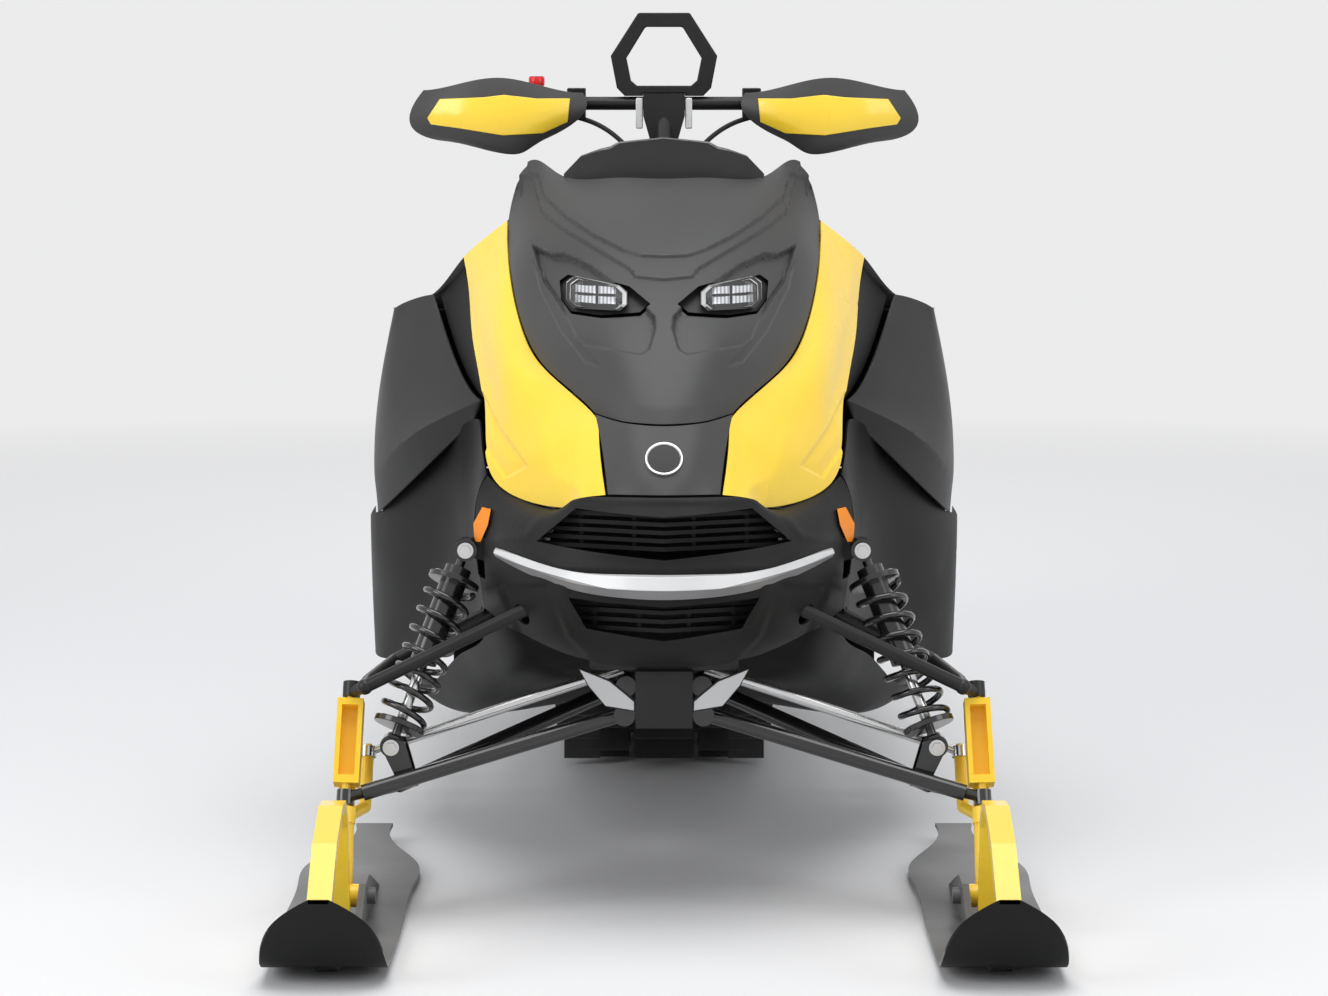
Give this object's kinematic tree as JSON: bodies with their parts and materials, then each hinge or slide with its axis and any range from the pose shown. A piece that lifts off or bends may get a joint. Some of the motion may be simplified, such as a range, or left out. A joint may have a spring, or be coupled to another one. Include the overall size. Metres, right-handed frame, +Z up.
{
  "type": "snowmobile",
  "caption": "Snowmobile for one rider with a long rubber track under a sheet-metal tunnel, two steered skis on double-arm front suspension, and a raised handlebar with hand guards.",
  "frame": {"origin": "on the snow, at the middle of the machine's length and width", "axes": "+Z up; -Y towards the ski tips, +Y towards the snow flap; +X to the rider's left"},
  "size_m": [1.1232, 3.1, 1.338],
  "materials": {
    "hood_grey": "satin moulded plastic",
    "black_plastic": "grained black plastic",
    "gloss_black": "gloss black",
    "yellow_paint": "gloss moulded-in yellow",
    "lamp_glass": "clear lens over a chromed bowl",
    "amber_lens": "amber reflector",
    "red_lens": "red tail lens",
    "silver_trim": "silver plastic",
    "aluminium": "brushed sheet",
    "bright_steel": "plated",
    "black_steel": "powder coat",
    "yellow_metal": "powder coat",
    "track_rubber": "moulded rubber",
    "seat_cover": "grained vinyl",
    "grip_rubber": "moulded rubber",
    "ski_plastic": "moulded ski plastic"
  },
  "bodies": {
    "root": {"belly_pan": "black_plastic", "bogie_wheels": "black_plastic", "bulkhead": "aluminium", "console": "black_plastic", "drive_axle": "black_steel", "engine_block": "aluminium", "fairing_panels": "yellow_paint", "front_bumper": "silver_trim", "front_shocks": "gloss_black", "front_springs": "black_steel", "fuel_tank": "black_plastic", "gauge_pod": "black_plastic", "headlights": "lamp_glass", "hood": "hood_grey", "knee_panels": "black_plastic", "lower_arms": "gloss_black", "lower_grille": "black_plastic", "lower_side_panels": "black_plastic", "nose_cover": "hood_grey", "nose_shell": "black_plastic", "rear_axle": "black_plastic", "rear_bumper": "black_steel", "rear_suspension_front_arm": "black_steel", "rear_suspension_rear_arm": "black_steel", "running_boards": "aluminium", "seat": "seat_cover", "shock_shafts": "bright_steel", "side_markers": "amber_lens", "side_panels": "black_plastic", "slide_rails": "aluminium", "snow_flap": "black_plastic", "tail_light": "red_lens", "track": "track_rubber", "track_shocks": "gloss_black", "tunnel": "aluminium", "upper_arms": "black_steel", "upper_grille": "black_plastic", "vent_panels": "black_plastic"},
    "steering": {"handlebar": "black_steel", "mountain_strap": "grip_rubber", "hand_guards": "black_plastic", "guard_inserts": "yellow_paint", "grips": "grip_rubber", "controls": "black_plastic", "brake_hoses": "grip_rubber"},
    "spindle_left": {"spindle_left": "yellow_metal"},
    "tie_rod_left": {"tie_rod_left": "bright_steel"},
    "ski_left": {"ski_left": "ski_plastic", "ski_loop_left": "yellow_paint"},
    "spindle_right": {"spindle_right": "yellow_metal"},
    "tie_rod_right": {"tie_rod_right": "bright_steel"},
    "ski_right": {"ski_right": "ski_plastic", "ski_loop_right": "yellow_paint"}
  },
  "joints": [
    {"name": "steer", "type": "hinge", "parent": "root", "child": "steering", "pos_m": [0, -0.3, 1.191], "axis": [0, 0.3701, 0.929], "range_deg": [-32, 32]},
    {"name": "kingpin_left", "type": "hinge", "parent": "root", "child": "spindle_left", "pos_m": [0.47, -1.075, 0.182], "axis": [-0.0361, 0.3908, 0.9198], "range_deg": [-29, 29]},
    {"name": "tie_rod_pivot_left", "type": "hinge", "parent": "spindle_left", "child": "tie_rod_left", "pos_m": [0.443, -0.972, 0.235], "axis": [-0.0361, 0.3908, 0.9198], "range_deg": [-29, 29]},
    {"name": "kingpin_right", "type": "hinge", "parent": "root", "child": "spindle_right", "pos_m": [-0.47, -1.075, 0.182], "axis": [0.0361, 0.3908, 0.9198], "range_deg": [-29, 29]},
    {"name": "tie_rod_pivot_right", "type": "hinge", "parent": "spindle_right", "child": "tie_rod_right", "pos_m": [-0.443, -0.972, 0.235], "axis": [0.0361, 0.3908, 0.9198], "range_deg": [-29, 29]},
    {"name": "ski_pivot_left", "type": "hinge", "parent": "spindle_left", "child": "ski_left", "pos_m": [0.47, -1.13, 0.05], "axis": [1, 0, 0], "range_deg": [-18, 12], "stiffness_Nm_per_rad": 40},
    {"name": "ski_pivot_right", "type": "hinge", "parent": "spindle_right", "child": "ski_right", "pos_m": [-0.47, -1.13, 0.05], "axis": [1, 0, 0], "range_deg": [-18, 12], "stiffness_Nm_per_rad": 40}
  ],
  "couplings": [
    {"joint": "kingpin_left", "follows": "steer", "ratio": 0.9},
    {"joint": "tie_rod_pivot_left", "follows": "steer", "ratio": -0.9},
    {"joint": "kingpin_right", "follows": "steer", "ratio": 0.9},
    {"joint": "tie_rod_pivot_right", "follows": "steer", "ratio": -0.9}
  ]
}
